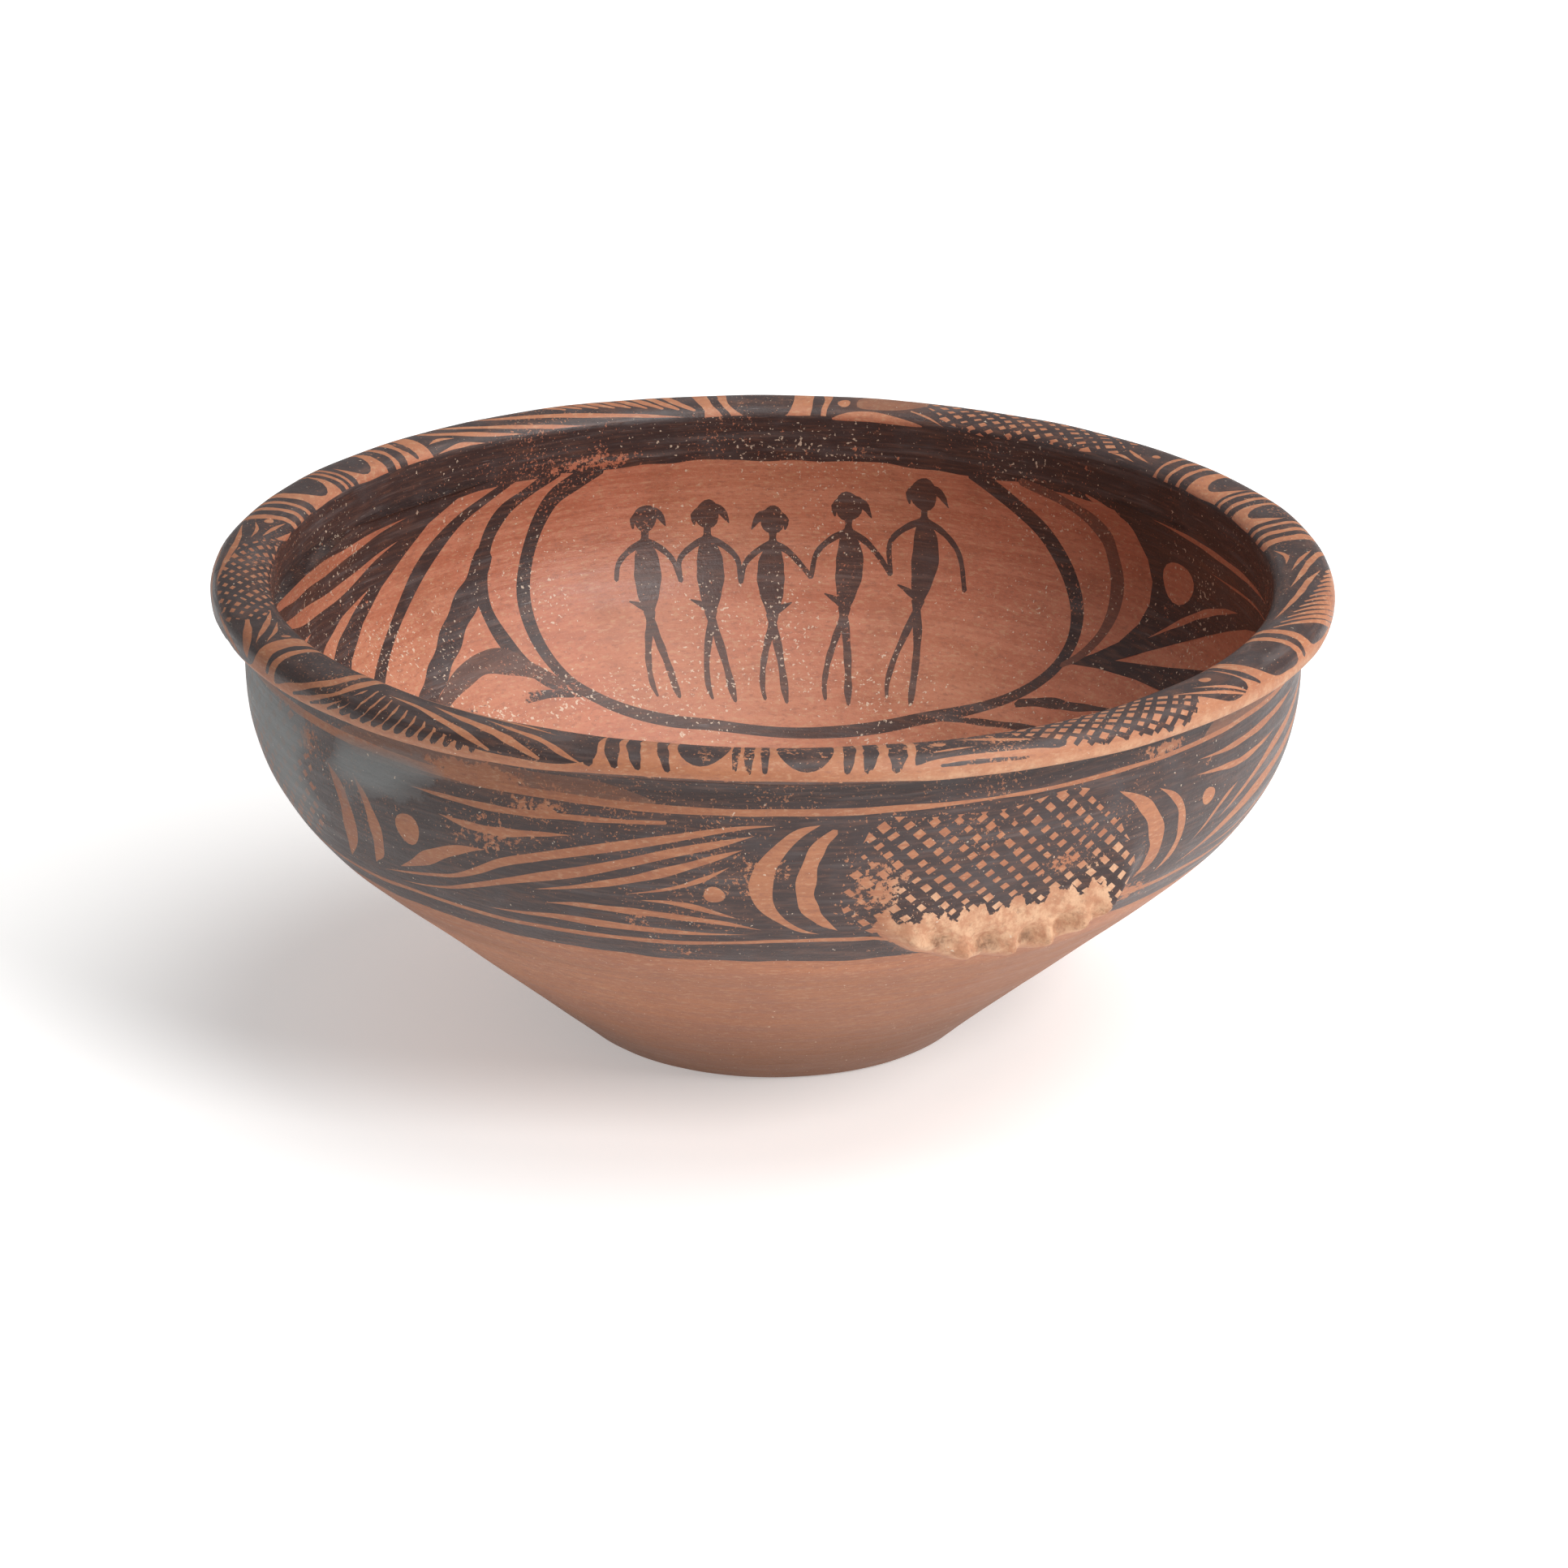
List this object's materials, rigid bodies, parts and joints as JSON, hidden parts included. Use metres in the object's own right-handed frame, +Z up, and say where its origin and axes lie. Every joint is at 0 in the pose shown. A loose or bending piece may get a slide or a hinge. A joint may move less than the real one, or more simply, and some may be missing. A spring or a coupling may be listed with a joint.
{
  "type": "painted pottery bowl",
  "caption": "Wide hand-built earthenware basin with a flat base, flaring cone, rounded belly, heavy rolled lip and pinched ledge lugs, painted in dark slip.",
  "frame": {"origin": "centre of the flat base, under the axis of the lip, on the standing surface", "axes": "+Z up along the bowl's axis, -Y towards the side shown in the picture, +X to its right"},
  "size_m": [0.3, 0.3, 0.1292],
  "materials": {
    "fired_clay": "burnished red-orange earthenware, painted in brown-black slip"
  },
  "bodies": {
    "root": {"bowl": "fired_clay"}
  },
  "joints": []
}
